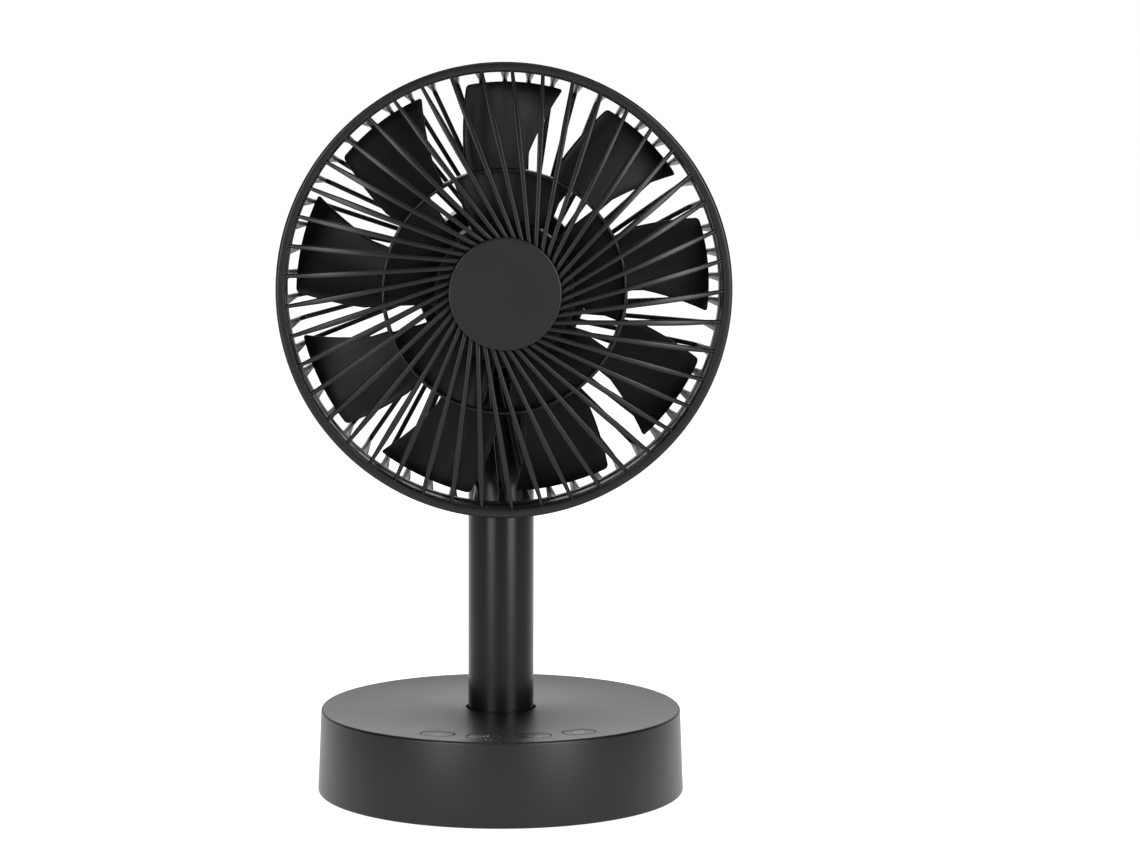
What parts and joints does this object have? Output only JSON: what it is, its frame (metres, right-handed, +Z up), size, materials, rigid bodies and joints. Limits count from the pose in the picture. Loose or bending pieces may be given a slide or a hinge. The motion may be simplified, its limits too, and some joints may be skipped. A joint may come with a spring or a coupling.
{
  "type": "desk fan",
  "caption": "Small black desk fan: round base with a row of pill-shaped buttons, plain round column, and a caged head of swirled spokes round a two-stage impeller.",
  "frame": {"origin": "on the column's axis, on the surface that the base stands on", "axes": "+Z up along the column, -Y the way the fan blows, +X to the right of a person who faces the fan"},
  "size_m": [0.1422, 0.1204, 0.2401],
  "materials": {
    "black_shell": "fine satin moulded texture, black",
    "black_blade": "smooth satin black",
    "inner_plastic": "plain moulded, dark grey",
    "steel": "plain bright steel",
    "dark_steel": "blackened steel",
    "brass": "turned brass and bronze",
    "rubber": "matte black rubber",
    "board": "green glass-fibre board",
    "cell_wrap": "blue shrink wrap",
    "nylon": "natural nylon, off-white",
    "wire": "red insulation"
  },
  "bodies": {
    "base": {"base_shell": "black_shell", "base_plate": "black_shell", "foot_pad_1": "rubber", "foot_pad_2": "rubber", "foot_pad_3": "rubber", "foot_pad_4": "rubber", "base_screw_1": "dark_steel", "base_screw_2": "dark_steel", "base_screw_3": "dark_steel", "base_screw_4": "dark_steel", "steel_weight": "dark_steel", "battery_cell": "cell_wrap", "battery_holder": "inner_plastic", "control_board": "board", "charging_board": "board", "usb_socket": "steel", "column_bearing": "nylon", "swivel_motor": "steel", "swivel_motor_screw_1": "dark_steel", "swivel_motor_screw_2": "dark_steel", "switch_1": "steel", "switch_2": "steel", "switch_3": "steel", "switch_4": "steel"},
    "column": {"column_tube": "black_shell", "column_neck": "black_shell", "sector_gear": "nylon", "retaining_ring": "dark_steel", "wiring_loom": "wire", "tilt_washer_left": "nylon", "tilt_washer_right": "nylon"},
    "head": {"front_guard": "black_shell", "center_cap": "black_shell", "rear_guard": "black_shell", "guard_screw_1": "dark_steel", "guard_screw_2": "dark_steel", "guard_screw_3": "dark_steel", "motor_pod": "black_shell", "pod_back_cover": "black_shell", "cover_screw_1": "dark_steel", "cover_screw_2": "dark_steel", "motor_can": "steel", "motor_end_bell": "inner_plastic", "motor_stator": "dark_steel", "motor_front_bearing": "brass", "motor_rear_bearing": "brass", "motor_screw_1": "dark_steel", "motor_screw_2": "dark_steel", "driver_board": "board", "tilt_pin": "steel"},
    "impeller": {"impeller": "black_blade", "hub_bush": "brass", "motor_shaft": "steel", "motor_rotor": "dark_steel"},
    "swivel_pinion": {"swivel_pinion": "nylon"},
    "power_key": {"button_power": "black_shell"},
    "speed_key": {"button_speed": "black_shell"},
    "swing_key": {"button_swing": "black_shell"},
    "timer_key": {"button_timer": "black_shell"}
  },
  "joints": [
    {"name": "column_swivel", "type": "hinge", "parent": "base", "child": "column", "pos_m": [0, 0, 0.02], "axis": [0, 0, 1], "range_deg": [-30, 30]},
    {"name": "head_tilt", "type": "hinge", "parent": "column", "child": "head", "pos_m": [0, 0, 0.15], "axis": [-1, 0, 0], "range_deg": [-5, 25]},
    {"name": "blade_spin", "type": "hinge", "parent": "head", "child": "impeller", "pos_m": [0, -0.04, 0.1689], "axis": [0, 1, 0], "continuous": true},
    {"name": "swivel_pinion_spin", "type": "hinge", "parent": "base", "child": "swivel_pinion", "pos_m": [-0.0192, 0, 0.0126], "axis": [0, 0, 1], "range_deg": [-92, 92]},
    {"name": "power_press", "type": "slide", "parent": "base", "child": "power_key", "axis": [0, 0, -1], "range_m": [0, 0.0006], "stiffness_N_per_m": 200},
    {"name": "speed_press", "type": "slide", "parent": "base", "child": "speed_key", "axis": [0, 0, -1], "range_m": [0, 0.0006], "stiffness_N_per_m": 200},
    {"name": "swing_press", "type": "slide", "parent": "base", "child": "swing_key", "axis": [0, 0, -1], "range_m": [0, 0.0006], "stiffness_N_per_m": 200},
    {"name": "timer_press", "type": "slide", "parent": "base", "child": "timer_key", "axis": [0, 0, -1], "range_m": [0, 0.0006], "stiffness_N_per_m": 200}
  ],
  "couplings": [
    {"joint": "swivel_pinion_spin", "follows": "column_swivel", "ratio": -3}
  ]
}
